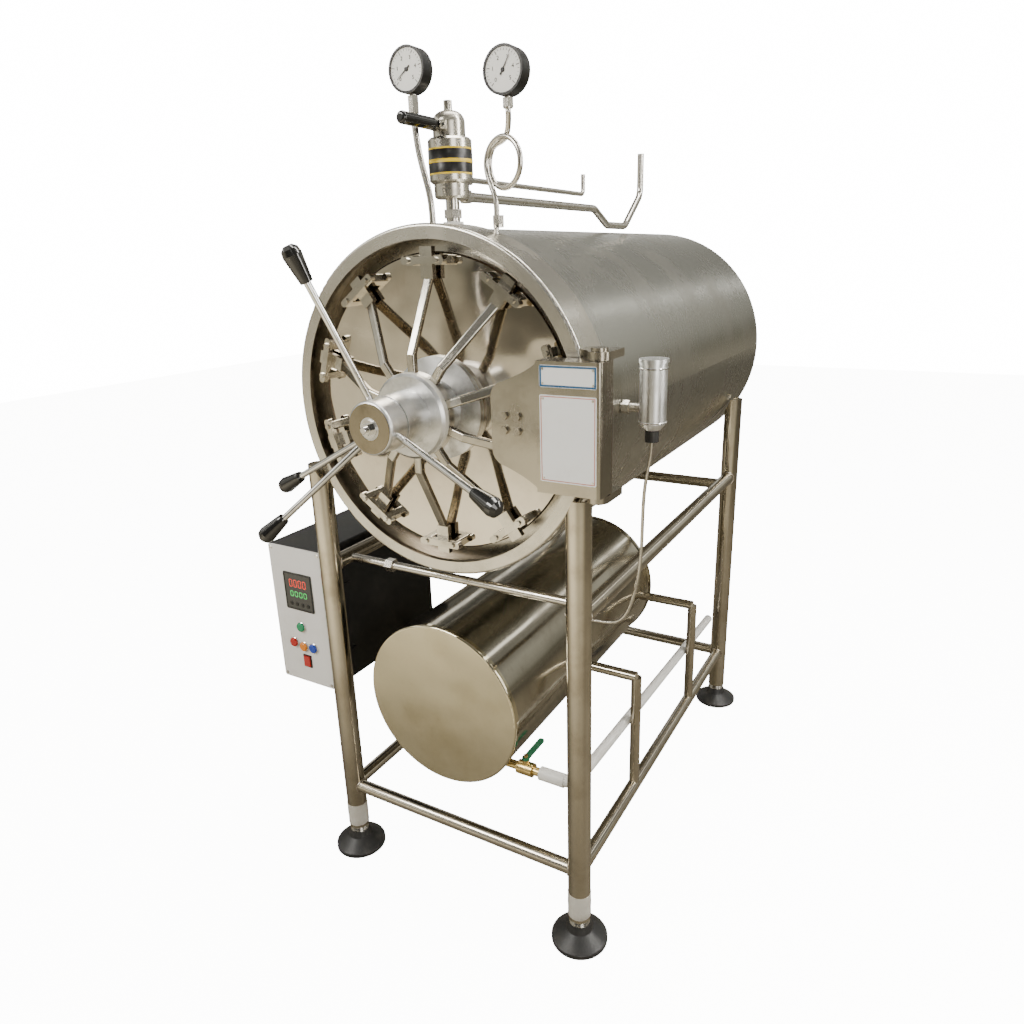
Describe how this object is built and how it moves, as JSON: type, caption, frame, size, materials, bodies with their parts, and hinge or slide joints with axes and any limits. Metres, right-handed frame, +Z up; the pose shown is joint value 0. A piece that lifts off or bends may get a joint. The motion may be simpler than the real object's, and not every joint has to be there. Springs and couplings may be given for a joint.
{
  "type": "horizontal autoclave",
  "caption": "Free-standing horizontal autoclave: round jacketed chamber on a tube frame, swing door with radial locking arms and handwheel, steam boiler below and a control box at the side.",
  "frame": {"origin": "on the floor, under the middle of the machine's outer box", "axes": "+X to the right of someone facing the door, +Y away from the door along the vessel, +Z up"},
  "size_m": [0.9562, 1.5752, 1.843],
  "materials": {
    "satin_tube": "satin",
    "black_foot": "moulded",
    "bright_steel": "bright",
    "ring_steel": "satin",
    "seal_rubber": "moulded",
    "chamber_steel": "bright",
    "cover_steel": "brushed",
    "boiler_steel": "satin",
    "mirror_steel": "polished",
    "black_sheet": "powder coat",
    "white_panel": "satin",
    "display_glass": "glossy",
    "lamp_lens": "glossy",
    "switch_red": "glossy",
    "canister": "bright",
    "black_fitting": "moulded",
    "fitting_brass": "worn",
    "machined_steel": "turned",
    "gauge_black": "gloss",
    "gauge_white": "satin",
    "blank_sign": "satin",
    "chrome_rod": "polished",
    "black_knob": "glossy",
    "waste_plastic": "moulded",
    "green_lever": "dipped",
    "arm_steel": "polished"
  },
  "bodies": {
    "machine": {"posts": "satin_tube", "rails": "satin_tube", "foot_pads": "black_foot", "foot_stems": "bright_steel", "ring_lip": "ring_steel", "ring_band": "ring_steel", "ring_flange": "ring_steel", "door_seal": "seal_rubber", "chamber_shell": "chamber_steel", "chamber_head": "chamber_steel", "steam_jacket": "chamber_steel", "jacket_cover": "cover_steel", "rear_cover": "cover_steel", "hinge_lugs": "ring_steel", "hinge_pin": "bright_steel", "boiler_shell": "boiler_steel", "boiler_front": "mirror_steel", "boiler_rear": "boiler_steel", "boiler_stand": "satin_tube", "control_box": "black_sheet", "control_panel": "white_panel", "panel_display": "display_glass", "panel_lamps": "lamp_lens", "rocker_switch": "switch_red", "trap_body": "canister", "trap_neck": "black_fitting", "trap_pipes": "bright_steel", "valve_nozzle": "fitting_brass", "valve_body": "machined_steel", "valve_bell": "machined_steel", "gauge_cases": "gauge_black", "gauge_dials": "gauge_white", "gauge_stem": "fitting_brass", "siphon_tube": "bright_steel", "top_pipes": "bright_steel", "feed_pipe": "bright_steel", "drain_valve": "fitting_brass", "waste_pipe": "waste_plastic"},
    "door": {"door_plate": "mirror_steel", "hub_housing": "machined_steel", "bolt_guides": "machined_steel", "hinge_arm": "mirror_steel", "sign_plates": "blank_sign", "pull_rod": "chrome_rod", "pull_knob": "black_knob"},
    "handwheel": {"wheel_hub": "machined_steel", "wheel_rods": "chrome_rod", "wheel_knobs": "black_knob"},
    "locking_arm_1": {"locking_arm_1": "arm_steel"},
    "locking_arm_2": {"locking_arm_2": "arm_steel"},
    "locking_arm_3": {"locking_arm_3": "arm_steel"},
    "locking_arm_4": {"locking_arm_4": "arm_steel"},
    "locking_arm_5": {"locking_arm_5": "arm_steel"},
    "locking_arm_6": {"locking_arm_6": "arm_steel"},
    "locking_arm_7": {"locking_arm_7": "arm_steel"},
    "locking_arm_8": {"locking_arm_8": "arm_steel"},
    "locking_arm_9": {"locking_arm_9": "arm_steel"},
    "locking_arm_10": {"locking_arm_10": "arm_steel"},
    "test_lever": {"valve_lever": "black_knob"},
    "drain_handle": {"drain_lever": "green_lever"}
  },
  "joints": [
    {"name": "door_swing", "type": "hinge", "parent": "machine", "child": "door", "pos_m": [0.4176, -0.5349, 1.194], "axis": [0, 0, 1], "range_deg": [0, 110]},
    {"name": "wheel_turn", "type": "hinge", "parent": "door", "child": "handwheel", "pos_m": [0.0446, -0.6544, 1.194], "axis": [0, 1, 0], "range_deg": [0, 90]},
    {"name": "arm_slide_1", "type": "slide", "parent": "door", "child": "locking_arm_1", "axis": [0, 0, 1], "range_m": [0, 0.021]},
    {"name": "arm_slide_2", "type": "slide", "parent": "door", "child": "locking_arm_2", "axis": [-0.5878, 0, 0.809], "range_m": [0, 0.021]},
    {"name": "arm_slide_3", "type": "slide", "parent": "door", "child": "locking_arm_3", "axis": [-0.9511, 0, 0.309], "range_m": [0, 0.021]},
    {"name": "arm_slide_4", "type": "slide", "parent": "door", "child": "locking_arm_4", "axis": [-0.9511, 0, -0.309], "range_m": [0, 0.021]},
    {"name": "arm_slide_5", "type": "slide", "parent": "door", "child": "locking_arm_5", "axis": [-0.5878, 0, -0.809], "range_m": [0, 0.021]},
    {"name": "arm_slide_6", "type": "slide", "parent": "door", "child": "locking_arm_6", "axis": [0, 0, -1], "range_m": [0, 0.021]},
    {"name": "arm_slide_7", "type": "slide", "parent": "door", "child": "locking_arm_7", "axis": [0.5878, 0, -0.809], "range_m": [0, 0.021]},
    {"name": "arm_slide_8", "type": "slide", "parent": "door", "child": "locking_arm_8", "axis": [0.9511, 0, -0.309], "range_m": [0, 0.021]},
    {"name": "arm_slide_9", "type": "slide", "parent": "door", "child": "locking_arm_9", "axis": [0.9511, 0, 0.309], "range_m": [0, 0.021]},
    {"name": "arm_slide_10", "type": "slide", "parent": "door", "child": "locking_arm_10", "axis": [0.5878, 0, 0.809], "range_m": [0, 0.021]},
    {"name": "test_lever_lift", "type": "hinge", "parent": "machine", "child": "test_lever", "pos_m": [0.0446, -0.4399, 1.716], "axis": [-1, 0, 0], "range_deg": [0, 30]},
    {"name": "drain_turn", "type": "hinge", "parent": "machine", "child": "drain_handle", "pos_m": [0.2216, -0.4809, 0.41], "axis": [0, 0, -1], "range_deg": [0, 90]}
  ],
  "couplings": [
    {"joint": "arm_slide_1", "follows": "wheel_turn", "m_per_rad": 0.0133},
    {"joint": "arm_slide_2", "follows": "wheel_turn", "m_per_rad": 0.0133},
    {"joint": "arm_slide_3", "follows": "wheel_turn", "m_per_rad": 0.0133},
    {"joint": "arm_slide_4", "follows": "wheel_turn", "m_per_rad": 0.0133},
    {"joint": "arm_slide_5", "follows": "wheel_turn", "m_per_rad": 0.0133},
    {"joint": "arm_slide_6", "follows": "wheel_turn", "m_per_rad": 0.0133},
    {"joint": "arm_slide_7", "follows": "wheel_turn", "m_per_rad": 0.0133},
    {"joint": "arm_slide_8", "follows": "wheel_turn", "m_per_rad": 0.0133},
    {"joint": "arm_slide_9", "follows": "wheel_turn", "m_per_rad": 0.0133},
    {"joint": "arm_slide_10", "follows": "wheel_turn", "m_per_rad": 0.0133}
  ]
}
